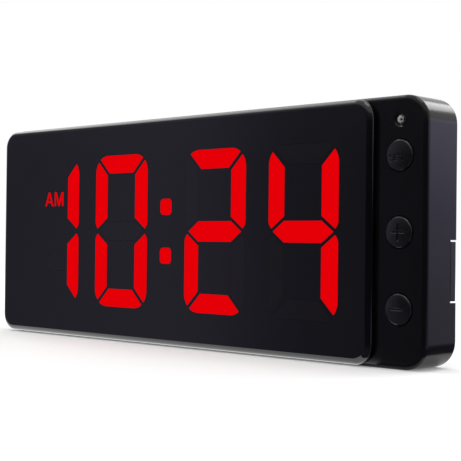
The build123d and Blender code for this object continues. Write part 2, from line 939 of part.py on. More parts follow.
def pieces():
    heights = button_heights()
    made = {
        "front_case": front_case(),
        "display_window": display_window(),
        "window_gasket": window_gasket(),
        "diffuser_sheet": diffuser_sheet(),
        "lit_segments": light_windows(segments_at(1), light_proud),
        "unlit_segments": light_windows(segments_at(2), 0),
        "colon_dots": light_windows(colon_outlines(), light_proud),
        "period_windows": light_windows(mark_outlines(), 0),
        "reflector": reflector(),
        "display_board": display_board(),
        "segment_leds": segment_leds(),
        "driver_chips": driver_chips(),
        "clock_crystal": clock_crystal(),
        "smoothing_capacitor": smoothing_capacitor(),
        "button_board": button_board(),
        "tact_switches": tact_switches(),
        "board_link": board_link(),
        "light_sensor": light_sensor(),
        "sensor_leads": sensor_leads(),
        "board_screws": board_screws(),
        "rear_cover": rear_cover(),
        "case_screws": case_screws(),
        "battery_door": battery_door(),
        "aaa_cells": aaa_cells(),
        "bridge_contact": bridge_contact(),
        "spring_contact": spring_contact(),
        "plate_contact": plate_contact(),
        "battery_leads": battery_leads(),
        "power_inlet": power_inlet(),
    }
    for name, z in heights.items():
        made[name + "_button"] = button(z)
        made[name + "_plunger"] = plunger(z)
    return made


os.makedirs("parts", exist_ok=True)
for node, shape in pieces().items():
    export_step(shape, f"parts/{node}.step")
    print(node, len(shape.solids()), "solids")
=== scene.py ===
import bmesh
import bpy
import numpy as np
from mathutils import Matrix, Vector


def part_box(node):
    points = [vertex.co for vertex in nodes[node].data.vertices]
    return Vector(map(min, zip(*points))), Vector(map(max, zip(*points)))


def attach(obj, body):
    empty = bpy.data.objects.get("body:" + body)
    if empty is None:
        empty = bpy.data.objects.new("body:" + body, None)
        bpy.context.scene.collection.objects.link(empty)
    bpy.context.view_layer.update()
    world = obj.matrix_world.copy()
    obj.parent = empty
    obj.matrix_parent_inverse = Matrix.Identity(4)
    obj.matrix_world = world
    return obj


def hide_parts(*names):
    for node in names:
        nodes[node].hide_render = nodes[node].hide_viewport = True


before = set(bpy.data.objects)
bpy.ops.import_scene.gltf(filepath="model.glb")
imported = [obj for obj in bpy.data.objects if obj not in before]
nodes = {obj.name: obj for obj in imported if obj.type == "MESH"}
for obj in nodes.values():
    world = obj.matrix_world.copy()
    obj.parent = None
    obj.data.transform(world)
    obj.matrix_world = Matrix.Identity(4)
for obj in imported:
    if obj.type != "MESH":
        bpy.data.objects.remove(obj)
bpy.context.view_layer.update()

mm = 0.001
print("packed clock loaded:", len(nodes), "nodes")


def hexToLinear(code):
    # sRGB hex to linear light, by the sRGB curve
    parts = np.array([int(code[k:k + 2], 16) for k in (1, 3, 5)]) / 255.0
    linear = np.where(parts <= 0.04045, parts / 12.92, ((parts + 0.055) / 1.055) ** 2.4)
    return tuple(float(v) for v in linear) + (1.0,)


def perSize(sizeMm):
    # texture scale at which one feature is about this many millimetres wide
    return 1.0 / (sizeMm * mm)


def addNode(tree, kind, settings=None, links=None):
    # settings fill a property, or an input socket of that name or number; links feed input sockets
    node = tree.nodes.new(kind)
    for key, value in (settings or {}).items():
        if isinstance(key, str) and hasattr(node, key):
            setattr(node, key, value)
        else:
            node.inputs[key].default_value = value
    for key, output in (links or {}).items():
        tree.links.new(node.inputs[key], output)
    return node


def startMaterial(name, look):
    # a Principled shader with the constants of look set on its own sockets
    material = bpy.data.materials.new(name)
    material.use_nodes = True
    tree = material.node_tree
    tree.nodes.clear()
    shader = addNode(tree, "ShaderNodeBsdfPrincipled")
    for socket, value in look.items():
        shader.inputs[socket].default_value = value
    addNode(tree, "ShaderNodeOutputMaterial", None, {"Surface": shader.outputs[0]})
    place = addNode(tree, "ShaderNodeTexCoord").outputs["Object"]
    return material, tree, shader, place


def cloudedColour(tree, place, size, first, second):
    # two colours in soft patches about size millimetres wide. Noise stays near its middle, so its 0.3 to 0.7
    # is stretched over the whole way from first to second. On a colour Mix node, inputs 6 and 7 are the two
    # colours and output 2 is the result
    noise = addNode(tree, "ShaderNodeTexNoise", {"Scale": perSize(size), "Detail": 3.0}, {"Vector": place})
    span = {"From Min": 0.3, "From Max": 0.7}
    share = addNode(tree, "ShaderNodeMapRange", span, {"Value": noise.outputs["Fac"]}).outputs["Result"]
    pair = {"data_type": "RGBA", 6: hexToLinear(first), 7: hexToLinear(second)}
    return addNode(tree, "ShaderNodeMix", pair, {0: share}).outputs[2]


def grainedSurface(tree, shader, place, size, detail, rough, depthMm=0.0):
    # one grain for both: its gloss runs over the two roughnesses, and its relief stands depthMm high
    noise = addNode(tree, "ShaderNodeTexNoise", {"Scale": perSize(size), "Detail": detail}, {"Vector": place})
    grain = noise.outputs["Fac"]
    span = {"From Min": 0.3, "From Max": 0.7, "To Min": rough[0], "To Max": rough[1]}
    gloss = addNode(tree, "ShaderNodeMapRange", span, {"Value": grain}).outputs["Result"]
    tree.links.new(shader.inputs["Roughness"], gloss)
    if depthMm:
        bump = addNode(tree, "ShaderNodeBump", {"Strength": 1.0, "Distance": depthMm * mm}, {"Height": grain})
        tree.links.new(shader.inputs["Normal"], bump.outputs[0])


def moulded(name, look, colours, grain, rough, depth, cloud=18.0):
    # a moulded plastic: cloudy colour, fine tool grain in its gloss and its relief. Real tool grain is near
    # 0.05 mm, too fine to show, so it is drawn at the size given. grain, depth and cloud are in millimetres,
    # and rough is the lowest and highest roughness
    material, tree, shader, place = startMaterial(name, look)
    tree.links.new(shader.inputs["Base Color"], cloudedColour(tree, place, cloud, *colours))
    grainedSurface(tree, shader, place, grain, 2.0, rough, depth)
    return material


print("materials")

# ABS, injection moulded on a honed tool: dark half gloss, grain just felt with a nail
caseAbs = moulded("satinBlackAbs", {"IOR": 1.5, "Specular IOR Level": 0.26},
                  ("#070709", "#0a0a0d"), 0.5, (0.15, 0.21), 0.002)

# the same ABS on a spark-eroded tool: coarser, duller back cover
coverAbs = moulded("sparkErodedBlackAbs", {"IOR": 1.5, "Specular IOR Level": 0.38},
                   ("#0e0e12", "#141418"), 0.8, (0.48, 0.6), 0.03)

# ABS caps from a polished insert: a little glossier than the case round them
capAbs = moulded("polishedBlackAbs", {"IOR": 1.5, "Specular IOR Level": 0.5},
                 ("#0b0b0e", "#0f0f13"), 0.7, (0.13, 0.18), 0.0008)

# cast acrylic sheet, black through, polished: deep gloss with the faintest orange peel
windowAcrylic = moulded("polishedBlackAcrylic", {"IOR": 1.49},
                        ("#030304", "#050507"), 6.0, (0.03, 0.05), 0.002, 40.0)

# the same acrylic, smoked so that an unlit window all but vanishes in the plate
smokedAcrylic = moulded("smokedAcrylic", {"IOR": 1.49},
                        ("#070708", "#0a0809"), 5.0, (0.03, 0.06), 0.002, 25.0)

# red acrylic lit from behind by LEDs: even, saturated, no gloss seen over the light
litLook = {"IOR": 1.49, "Specular IOR Level": 0.0, "Emission Color": hexToLinear("#f00006"),
           "Emission Strength": 0.82}
litAcrylic = moulded("litRedAcrylic", litLook, ("#4a0003", "#540004"), 4.0, (0.3, 0.36), 0.002, 12.0)

# closed-cell polyethylene foam tape: dead matt, pitted
foamTape = moulded("blackPeFoam", {"IOR": 1.5, "Specular IOR Level": 0.2},
                   ("#141414", "#1d1d1d"), 0.5, (0.88, 0.98), 0.08, 3.0)

# frosted polyester film: milky, evenly dull
frostFilm = moulded("frostedPetFilm", {"IOR": 1.57}, ("#dfe0e0", "#e9eaea"), 0.6, (0.5, 0.6), 0.01)

# ABS heavy with titanium white, moulded: chalky bright cells that throw the light forward
reflectorAbs = moulded("titaniumWhiteAbs", {"IOR": 1.52}, ("#e6e5df", "#efeee9"), 0.8, (0.34, 0.44), 0.01)

# potted LED bodies: creamy white with a yellow cast
ledPpa = moulded("creamPpaLed", {"IOR": 1.5}, ("#e8dfb4", "#f1ead0"), 0.8, (0.3, 0.42), 0.01, 1.5)

# filled epoxy moulding compound: charcoal, matt, faint silica sparkle
chipEpoxy = moulded("mouldedBlackEpoxy", {"IOR": 1.55}, ("#1b1b1c", "#28282a"), 0.5, (0.5, 0.64), 0.02, 2.0)

# nylon, moulded in natural grey: waxy
plungerNylon = moulded("mouldedGreyNylon", {"IOR": 1.53},
                       ("#a3a3a1", "#b2b2af"), 0.6, (0.42, 0.5), 0.008, 2.0)

# plasticised PVC over stranded wire: glossy red
leadPvc = moulded("redPvcSleeve", {"IOR": 1.53}, ("#a3141a", "#b51c22"), 0.6, (0.3, 0.38), 0.01, 3.0)


def plated(name, colours, brush, rough, depth):
    # a metal: patches of slightly darker plating, and streaks drawn out along X to about eight times as long
    # as they are wide
    material, tree, shader, place = startMaterial(name, {"Metallic": 1.0})
    drawnOut = addNode(tree, "ShaderNodeMapping", {"Scale": (0.12, 1.0, 1.0)}, {"Vector": place}).outputs[0]
    tree.links.new(shader.inputs["Base Color"], cloudedColour(tree, place, 2.5, *colours))
    grainedSurface(tree, shader, drawnOut, brush, 4.0, rough, depth)
    return material


# spring steel, tin plated: bright with a soft grey bloom
tinPlate = plated("tinPlatedSteel", ("#bdbcb6", "#d0cfca"), 0.4, (0.22, 0.34), 0.003)

# steel screws, zinc plated and passivated black: dark, oily sheen
blackZinc = plated("blackZincSteel", ("#2b2b2e", "#3d3c40"), 0.4, (0.3, 0.44), 0.005)

# deep-drawn aluminium can: pale, fine draw lines
drawnCan = plated("drawnAluminium", ("#c4c7cb", "#d6d8db"), 0.4, (0.2, 0.3), 0.004)


def solderMaskMaterial():
    # glass epoxy board under green solder mask: glossy lacquer, tracks showing as paler, raised lines
    look = {"IOR": 1.55, "Coat Weight": 0.4, "Coat Roughness": 0.12}
    material, tree, shader, place = startMaterial("greenSolderMask", look)
    upright = {"Rotation": (1.5708, 0.0, 0.0)}  # a quarter turn
    face = addNode(tree, "ShaderNodeMapping", upright, {"Vector": place}).outputs[0]
    brick = {"Scale": perSize(12.0), "Mortar Size": 0.03, "Brick Width": 0.9, "Row Height": 0.22,
             "offset": 0.37}
    tracks = addNode(tree, "ShaderNodeTexBrick", brick, {"Vector": face}).outputs["Fac"]
    greens = {"data_type": "RGBA", 6: hexToLinear("#0c3d1e"), 7: hexToLinear("#1b6334")}
    lacquer = addNode(tree, "ShaderNodeMix", greens, {0: tracks}).outputs[2]
    tree.links.new(shader.inputs["Base Color"], lacquer)
    grainedSurface(tree, shader, place, 0.8, 2.0, (0.3, 0.42))
    bump = addNode(tree, "ShaderNodeBump", {"Strength": 1.0, "Distance": 0.03 * mm}, {"Height": tracks})
    tree.links.new(shader.inputs["Normal"], bump.outputs[0])
    return material


# millimetres: start is a place along X, 0.1 past the upper cell's flat end, and the sleeve and its paler
# band are measured from it. The lower cell lies 1.7 further left and has the same sleeve in the same place
cell = {"start": 58.0, "sleeve": (1.6, 42.6), "band": (33.0, 37.0)}


def sleeveMaterial():
    # AAA cell: printed gloss sleeve with a paler band, and bare tin-plated steel beyond its two ends
    material, tree, shader, place = startMaterial("cellSleeve", {"Coat Weight": 0.3, "Coat Roughness": 0.1})
    along = addNode(tree, "ShaderNodeSeparateXYZ", None, {"Vector": place}).outputs["X"]
    shares = []
    for stretch in (cell["sleeve"], cell["band"]):
        low, high = (cell["start"] * mm + end * mm for end in stretch)
        above = addNode(tree, "ShaderNodeMath", {"operation": "GREATER_THAN", 1: low}, {0: along}).outputs[0]
        below = addNode(tree, "ShaderNodeMath", {"operation": "LESS_THAN", 1: high}, {0: along}).outputs[0]
        both = addNode(tree, "ShaderNodeMath", {"operation": "MULTIPLY"}, {0: above, 1: below})
        shares.append(both.outputs[0])
    onSleeve, onBand = shares
    inks = {"data_type": "RGBA", 6: hexToLinear("#22374f"), 7: hexToLinear("#c9ccd0")}
    sleeve = addNode(tree, "ShaderNodeMix", inks, {0: onBand}).outputs[2]
    steel = cloudedColour(tree, place, 1.2, "#b8b7b2", "#cbcac5")
    whole = addNode(tree, "ShaderNodeMix", {"data_type": "RGBA"}, {0: onSleeve, 6: steel, 7: sleeve})
    tree.links.new(shader.inputs["Base Color"], whole.outputs[2])
    bare = addNode(tree, "ShaderNodeMapRange", {"To Min": 1.0, "To Max": 0.0}, {"Value": onSleeve})
    tree.links.new(shader.inputs["Metallic"], bare.outputs["Result"])
    grainedSurface(tree, shader, place, 0.6, 3.0, (0.24, 0.34))
    return material


def lensMaterial():
    # clear epoxy, cast: water-clear, a trace of haze and moulding ripple
    look = {"Base Color": hexToLinear("#f4f8fb"), "Transmission Weight": 1.0, "IOR": 1.54, "Roughness": 0.02}
    material, tree, shader, place = startMaterial("castClearEpoxy", look)
    ripple = addNode(tree, "ShaderNodeTexNoise", {"Scale": perSize(0.9), "Detail": 1.0}, {"Vector": place})
    depth = {"Strength": 1.0, "Distance": 0.004 * mm}
    bump = addNode(tree, "ShaderNodeBump", depth, {"Height": ripple.outputs["Fac"]})
    tree.links.new(shader.inputs["Normal"], bump.outputs[0])
    return material


solderMask = solderMaskMaterial()
cellSleeve = sleeveMaterial()
castEpoxy = lensMaterial()

# silvered lead frame under the lens, dulled by the epoxy it is cast in
leadFrame = plated("dulledSilver", ("#9b9a97", "#b4b2af"), 0.4, (0.3, 0.42), 0.004)

finishOf = {
    "front_case": caseAbs, "rear_cover": coverAbs, "battery_door": coverAbs,
    "display_window": windowAcrylic, "unlit_segments": smokedAcrylic, "period_windows": smokedAcrylic,
    "lit_segments": litAcrylic, "colon_dots": litAcrylic,
    "window_gasket": foamTape, "diffuser_sheet": frostFilm, "reflector": reflectorAbs,
    "display_board": solderMask, "button_board": solderMask, "segment_leds": ledPpa,
    "driver_chips": chipEpoxy, "tact_switches": chipEpoxy, "board_link": chipEpoxy,
    "clock_crystal": tinPlate, "smoothing_capacitor": drawnCan,
    "sensor_leads": tinPlate, "bridge_contact": tinPlate, "spring_contact": tinPlate,
    "plate_contact": tinPlate, "power_inlet": tinPlate,
    "board_screws": blackZinc, "case_screws": blackZinc,
    "aaa_cells": cellSleeve, "battery_leads": leadPvc, "light_sensor": castEpoxy,
    "set_button": capAbs, "plus_button": capAbs, "minus_button": capAbs,
    "set_plunger": plungerNylon, "plus_plunger": plungerNylon, "minus_plunger": plungerNylon,
}
for nodeName, material in finishOf.items():
    nodes[nodeName].data.materials.clear()
    nodes[nodeName].data.materials.append(material)


def gridMesh(name, rings, material):
    # rings is an array of closed rings of points, from one pole to the other. Each end closes in a fan
    # on the middle of its ring, neighbours are joined by quads, and the signed volume turns faces outward
    count, around = rings.shape[:2]
    points = np.vstack([rings.reshape(-1, 3), rings[0].mean(0), rings[-1].mean(0)])
    index = np.arange(count * around).reshape(count, around)
    following = np.roll(index, -1, 1)
    quads = np.stack([index[:-1], index[1:], following[1:], following[:-1]], -1).reshape(-1, 4)
    first = np.stack([np.full(around, count * around), index[0], following[0]], -1)
    last = np.stack([np.full(around, count * around + 1), following[-1], index[-1]], -1)
    triangles = np.vstack([first, last, quads[:, [0, 1, 2]], quads[:, [0, 2, 3]]])
    a, b, c = (points[triangles[:, k]] for k in range(3))
    if np.einsum("ij,ij->i", a, np.cross(b, c)).sum() < 0:
        quads, first, last = quads[:, ::-1], first[:, ::-1], last[:, ::-1]
    mesh = bpy.data.meshes.new(name)
    mesh.from_pydata(points.tolist(), [], first.tolist() + last.tolist() + quads.tolist())
    mesh.polygons.foreach_set("use_smooth", np.ones(len(mesh.polygons), bool))
    mesh.update()
    piece = bpy.data.objects.new(name, mesh)
    bpy.context.scene.collection.objects.link(piece)
    mesh.materials.append(material)
    return piece


def turnProfile(profile, steps):
    # profile is (radius, depth along Y) from the front pole to the back one, turned round the Y axis
    angle = np.linspace(0.0, 2.0 * np.pi, steps, endpoint=False)
    radius, depth = profile[:, :1], profile[:, 1:]
    return np.stack([radius * np.cos(angle), depth + 0.0 * angle, radius * np.sin(angle)], -1)


def corner(fromR, fromY, toR, toY, steps):
    # a quarter round between two points: it sets out along the radius and ends running along Y
    t = np.linspace(0.0, np.pi / 2, steps)
    return np.stack([fromR + (toR - fromR) * np.sin(t), toY + (fromY - toY) * np.cos(t)], -1)


def strokeShare(x, z, strokes, width, soft):
    # 1 inside a stroke, easing to 0 over soft, by the distance to the nearest of the strokes' lines
    near = np.full(x.shape, 1e9)  # further than any line
    for line in strokes:
        for (ax, az), (bx, bz) in zip(line[:-1], line[1:]):
            dx, dz = bx - ax, bz - az + 1e-9  # never both nothing, because they divide below
            t = np.clip(((x - ax) * dx + (z - az) * dz) / (dx * dx + dz * dz), 0.0, 1.0)
            near = np.minimum(near, np.hypot(x - ax - t * dx, z - az - t * dz))
    share = np.clip((width / 2 + soft / 2 - near) / soft, 0.0, 1.0)
    return share * share * (3.0 - 2.0 * share)


# millimetres, apart from the counts rings, edgeSteps and around. crown, rim, flangeFront, flangeBack and
# postEnd are places along Y, and each Z is the height of a cap's middle
button = {
    "x": 113.3, "crown": -9.55, "rim": -9.05, "r": 5.8, "edge": 0.8, "skirtStep": 0.02,
    "flangeFront": -6.05, "flangeBack": -5.05, "flangeR": 6.8, "flangeBevel": 0.05,
    "postR": 2.3, "postEnd": -3.95, "postBevel": 0.1, "poleR": 0.3,
    "rings": 80, "edgeSteps": 7, "around": 400, "setZ": 78.0, "plusZ": 50.0, "minusZ": 22.0,
}

# the top cap's word, in millimetres from the cap's middle before the shift; the S's turns are in degrees
word = {
    "half": 1.0, "wide": 1.6, "sMiddle": -2.4, "eLeft": -0.75, "eTongue": 0.6,
    "tLeft": 1.6, "tStem": 2.45, "tRight": 3.3, "shift": (-0.7, -0.95),
    "sFrom": 35.0, "sTo": 270.0, "sPoints": 9,
}


def shiftStroke(line, dx, dz=0.0):
    # every point of a line moved by dx along X and dz along Z
    return [(x + dx, z + dz) for x, z in line]


def letterS():
    # two bowls, each most of an ellipse half as high as the letter: the lower is the upper turned half round
    turn = np.radians(np.linspace(word["sFrom"], word["sTo"], word["sPoints"]))
    upper = np.column_stack([word["wide"] / 2 * np.cos(turn),
                             word["half"] / 2 * np.sin(turn) + word["half"] / 2])
    return shiftStroke(np.vstack([upper, -upper[::-1]]), word["sMiddle"])


def wordStrokes():
    # S, then E as a bracket and its tongue, then T as a bar and its stem
    half, eLeft, tStem = word["half"], word["eLeft"], word["tStem"]
    eRight = eLeft + word["wide"]
    letters = [
        letterS(),
        [(eRight, half), (eLeft, half), (eLeft, -half), (eRight, -half)],
        [(eLeft, 0.0), (word["eTongue"], 0.0)],
        [(word["tLeft"], half), (word["tRight"], half)],
        [(tStem, half), (tStem, -half)],
    ]
    return [shiftStroke(letter, *word["shift"]) for letter in letters]


setSign = {"strokes": wordStrokes(), "width": 0.3, "soft": 0.34, "depth": 0.34}
plusSign = {"strokes": [[(-2.7, 0.0), (2.7, 0.0)], [(0.0, -2.85), (0.0, 2.85)]],
            "width": 0.6, "soft": 0.55, "depth": 0.45}
minusSign = {"strokes": [[(-2.3, 0.0), (2.3, 0.0)]], "width": 0.6, "soft": 0.55, "depth": 0.45}


def makeCap(name, node, body, z, sign):
    # crown: depth grows with the square of the radius; then a rounded edge, the skirt, the flange and
    # the post. The sign is sunk into the crown by the share of its strokes at each point
    b = button
    edgeStart = b["r"] - b["edge"]
    radius = np.linspace(0.0, 1.0, b["rings"])[1:] * edgeStart
    crown = np.stack([radius, b["crown"] + (b["rim"] - b["crown"]) * (radius / b["r"]) ** 2], -1)
    edge = corner(edgeStart, crown[-1, 1], b["r"], crown[-1, 1] + b["edge"], b["edgeSteps"])[1:]
    front, back, step, bevel = b["flangeFront"], b["flangeBack"], b["skirtStep"], b["flangeBevel"]
    rest = np.array([(b["r"], front - step), (b["r"] + step, front),
                     (b["flangeR"] - bevel, front), (b["flangeR"], front + bevel),
                     (b["flangeR"], back - bevel), (b["flangeR"] - bevel, back),
                     (b["postR"], back), (b["postR"], b["postEnd"] - b["postBevel"]),
                     (b["postR"] - b["postBevel"], b["postEnd"]), (b["poleR"], b["postEnd"])])
    rings = turnProfile(np.vstack([crown, edge, rest]), b["around"])
    top = len(crown)
    share = strokeShare(rings[:top, :, 0], rings[:top, :, 2], sign["strokes"], sign["width"], sign["soft"])
    rings[:top, :, 1] += sign["depth"] * share
    rings = rings + np.array([b["x"], 0.0, z])
    piece = gridMesh(name, rings * mm, capAbs)
    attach(piece, body)
    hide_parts(node)


makeCap("setCap", "set_button", "set_key", button["setZ"], setSign)
makeCap("plusCap", "plus_button", "plus_key", button["plusZ"], plusSign)
makeCap("minusCap", "minus_button", "minus_key", button["minusZ"], minusSign)
print("button caps sculpted")

# the letters AM: thin plates on the front over the upper period window, whose left edge the A's foot passes
# by 0.6 mm. left and foot place the A's lower left corner, and mLeft is from there to the M's
period = {"left": -90.4, "foot": 61.85, "front": -11.75, "thick": 0.1, "mLeft": 7.15}
letterA = [[(0, 0), (2.55, 6.6), (3.6, 6.6), (6.15, 0), (5.1, 0), (4.55, 1.6), (1.6, 1.6), (1.05, 0)],
           [(1.95, 2.5), (4.2, 2.5), (3.08, 5.5)]]
letterM = [[(0, 0), (0, 6.6), (1.35, 6.6), (3.3, 1.9), (5.25, 6.6), (6.6, 6.6), (6.6, 0), (5.65, 0),
            (5.65, 4.9), (3.7, 0), (2.9, 0), (0.95, 4.9), (0.95, 0)]]


def flatSign(name, outlines, material, front, thick):
    # closed outlines filled flat and thickened, then stood up to face along -Y
    curve = bpy.data.curves.new(name, "CURVE")
    curve.dimensions = "2D"
    curve.fill_mode = "BOTH"
    curve.extrude = thick / 2
    for outline in outlines:
        spline = curve.splines.new("POLY")
        spline.points.add(len(outline) - 1)
        flat = np.array([(x, z, 0.0, 1.0) for x, z in outline], np.float32)
        spline.points.foreach_set("co", flat.ravel())
        spline.use_cyclic_u = True
    holder = bpy.data.objects.new(name + "Curve", curve)
    mesh = bpy.data.meshes.new_from_object(holder)
    bpy.data.objects.remove(holder)
    middle = (front + thick / 2) * mm
    mesh.transform(Matrix(((mm, 0, 0, 0), (0, 0, -mm, middle), (0, mm, 0, 0), (0, 0, 0, 1))))
    mesh.materials.clear()
    mesh.materials.append(material)
    piece = bpy.data.objects.new(name, mesh)
    bpy.context.scene.collection.objects.link(piece)
    return piece


markOutlines = [shiftStroke(o, period["left"], period["foot"]) for o in letterA]
markOutlines += [shiftStroke(o, period["left"] + period["mLeft"], period["foot"]) for o in letterM]
amMark = flatSign("amMark", markOutlines, litAcrylic, period["front"], period["thick"])
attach(amMark, "clock")
print("period letters cut")

# lit has each digit's middle along X and the segments lit in it. middle is the digits' height above the
# floor, front and plate are places along Y, and the rest is measured from a digit's own middle
digit = {"lit": {-82.475: "bc", -35.175: "abcdef", 23.375: "abdeg", 70.675: "bcfg"}, "middle": 50.0,
         "outer": 17.425, "top": 34.25, "stroke": 8.05, "cornerR": 8.0, "barInset": 1.485, "uprightDrop": 0.9,
         "barHalf": 4.25, "barTip": 2.3, "middleGap": 1.45, "footR": 4.0, "foot": 0.39, "arcSteps": 25,
         "front": -11.75, "plate": -11.65}


def roundStretch(centreX, centreZ, radius, fromTurn, toTurn):
    # points along a circle's arc, turns counted from +X towards +Z
    turn = np.linspace(fromTurn, toTurn, digit["arcSteps"])
    return np.column_stack([centreX + radius * np.cos(turn), centreZ + radius * np.sin(turn)])


def cornerCut(inset):
    # turn from the corner's diagonal to where a 45 degree mitre, shifted by inset, meets the corner's circle
    return np.arcsin(inset / (digit["cornerR"] * np.sqrt(2.0)))


def litUpright():
    # upper right segment: its outer side is the digit's rounded corner above and a tighter round below,
    # where it runs out on a line parallel to the middle bar's end
    d = digit
    inner = d["outer"] - d["stroke"]
    slope = d["barHalf"] / (d["stroke"] - d["barTip"])
    slant = np.hypot(1.0, slope)
    innerEnd = d["barHalf"] + d["middleGap"] * slant
    footX, footZ = d["outer"] - d["footR"], d["foot"] + d["footR"]
    clear = (footZ - innerEnd + slope * (footX - inner)) / slant
    footTurn = np.arctan(slope) + np.arcsin(clear / d["footR"])
    lower = roundStretch(footX, footZ, d["footR"], -footTurn, 0.0)
    upper = roundStretch(d["outer"] - d["cornerR"], d["top"] - d["cornerR"], d["cornerR"],
                         0.0, np.pi / 4 - cornerCut(d["uprightDrop"]))
    return np.vstack([lower, upper, [(inner, d["top"] - d["uprightDrop"] - d["stroke"]), (inner, innerEnd)]])


def litBar():
    # top segment: both ends follow the digit's rounded corners out to a mitre
    d = digit
    right = roundStretch(d["outer"] - d["cornerR"], d["top"] - d["cornerR"], d["cornerR"],
                         np.pi / 4 + cornerCut(d["barInset"]), np.pi / 2)
    reach = d["outer"] - d["barInset"] - d["stroke"]
    foot = d["top"] - d["stroke"]
    return np.vstack([right, right[::-1] * (-1.0, 1.0), [(-reach, foot), (reach, foot)]])


def litMiddle():
    # middle bar: a hexagon with a point at each end
    half = digit["barHalf"]
    tip, shoulder = digit["outer"] - digit["barTip"], digit["outer"] - digit["stroke"]
    upper = [(tip, 0.0), (shoulder, half), (-shoulder, half)]
    return np.array(upper + [(-x, -z) for x, z in upper])


def makeLitFaces():
    # each segment is one of the three outlines, mirrored to its side of the digit and moved to its digit
    shapes = {"a": (litBar, 1, 1), "b": (litUpright, 1, 1), "c": (litUpright, 1, -1), "d": (litBar, 1, -1),
              "e": (litUpright, -1, -1), "f": (litUpright, -1, 1), "g": (litMiddle, 1, 1)}
    outlines = []
    for across, names in digit["lit"].items():
        for outline, sideX, sideZ in (shapes[name] for name in names):
            outlines.append(outline() * (sideX, sideZ) + (across, digit["middle"]))
    faces = flatSign("litFaces", outlines, litAcrylic, digit["front"], digit["plate"] - digit["front"])
    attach(faces, "clock")
    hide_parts("lit_segments")


def makeSegmentWindows():
    # the round-tipped smoked windows that the lit faces stand on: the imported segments, with the points in
    # front of the plate brought back level with it
    mesh = nodes["lit_segments"].data.copy()
    solid = bmesh.new()
    solid.from_mesh(mesh)
    bmesh.ops.remove_doubles(solid, verts=solid.verts, dist=0.001 * mm)
    solid.to_mesh(mesh)
    solid.free()
    points = np.empty(3 * len(mesh.vertices), np.float32)
    mesh.vertices.foreach_get("co", points)
    points[1::3] = np.maximum(points[1::3], digit["plate"] * mm)
    mesh.vertices.foreach_set("co", points)
    mesh.polygons.foreach_set("use_smooth", np.zeros(len(mesh.polygons), bool))
    mesh.materials.clear()
    mesh.materials.append(smokedAcrylic)
    mesh.update()
    windows = bpy.data.objects.new("segmentWindows", mesh)
    bpy.context.scene.collection.objects.link(windows)
    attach(windows, "clock")


makeSegmentWindows()
makeLitFaces()
print("lit faces cut:", sum(len(names) for names in digit["lit"].values()))

sensor = {"x": 113.3, "z": 91.0, "tip": -8.60, "r": 1.7, "dome": 1.0, "barrelStep": 0.02, "flangeR": 2.2,
          "flangeThick": 0.8, "frontSlope": 0.03, "backBevel": 0.05, "poleR": 0.2, "domeSteps": 15,
          "around": 72}


def atSensor(rings):
    # from about the Y axis to the sensor's place, in metres
    return (rings + np.array([sensor["x"], 0.0, sensor["z"]])) * mm


def makeLens():
    # lens: an ellipse's quarter for the dome, a straight barrel, and the flange it is stopped by
    s = sensor
    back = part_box(nodes["light_sensor"].name)[1].y / mm
    front = back - s["flangeThick"]
    t = np.linspace(0.0, np.pi / 2, s["domeSteps"])[1:]
    dome = np.stack([s["r"] * np.sin(t), s["tip"] + s["dome"] * (1.0 - np.cos(t))], -1)
    rest = np.array([(s["r"], front - s["barrelStep"]), (s["r"] + s["barrelStep"], front),
                     (s["flangeR"], front + s["frontSlope"]), (s["flangeR"], back - s["backBevel"]),
                     (s["flangeR"] - s["backBevel"], back), (s["poleR"], back)])
    piece = gridMesh("sensorLens", atSensor(turnProfile(np.vstack([dome, rest]), s["around"])), castEpoxy)
    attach(piece, "clock")
    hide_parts("light_sensor")


cup = {"front": -7.95, "back": -7.6, "r": 1.2, "floorR": 0.65, "wall": 0.12, "poleR": 0.05, "around": 48}


def makeCup():
    # reflector cup cast inside the lens: a straight cone and its floor, and the same again a wall away
    c, wall = cup, cup["wall"]
    inside = [(c["poleR"], c["back"] - wall), (c["floorR"], c["back"] - wall), (c["r"], c["front"])]
    outside = [(c["r"] + wall, c["front"]), (c["floorR"] + wall, c["back"]), (c["poleR"], c["back"])]
    piece = gridMesh("sensorCup", atSensor(turnProfile(np.array(inside + outside), c["around"])), leadFrame)
    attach(piece, "clock")


# the profile gives shares of the reach, and depths from the back of the cup
die = {"half": 0.36, "turn": 0.6, "power": 6, "around": 48,
       "profile": [(0.3, -0.32), (0.92, -0.32), (1.0, -0.28), (1.0, -0.13), (0.3, -0.13)]}


def makeDie():
    # the light-sensitive chip on the cup's floor: a superellipse of power 6, so a square with soft corners
    angle = np.linspace(0.0, 2 * np.pi, die["around"], endpoint=False)
    turned, power = angle + die["turn"], die["power"]
    reach = die["half"] / (np.abs(np.cos(turned)) ** power + np.abs(np.sin(turned)) ** power) ** (1 / power)
    profile = np.array(die["profile"])
    radius, depth = profile[:, :1] * reach, cup["back"] + profile[:, 1:] + 0.0 * angle
    rings = np.stack([radius * np.cos(angle), depth, radius * np.sin(angle)], -1)
    piece = gridMesh("sensorDie", atSensor(rings), chipEpoxy)
    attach(piece, "clock")


makeLens()
makeCup()
makeDie()
print("sensor lens turned, with its cup and chip")

# floor is half its side and the fades are distances, in metres; glow and sky are strengths, where 1 is white
stage = {"floor": 3.0, "tone": "#e6e6e6", "fadeFrom": 0.55, "fadeTo": 1.3, "glow": 0.18, "sky": 0.9}


def rayIsSeen(tree):
    # 1 for rays from the camera, a reflection or a clear body, so all of them meet the pale backdrop
    path = addNode(tree, "ShaderNodeLightPath").outputs
    first = addNode(tree, "ShaderNodeMath", {"operation": "MAXIMUM"},
                    {0: path["Is Camera Ray"], 1: path["Is Glossy Ray"]}).outputs[0]
    return addNode(tree, "ShaderNodeMath", {"operation": "MAXIMUM"},
                   {0: first, 1: path["Is Transmission Ray"]}).outputs[0]


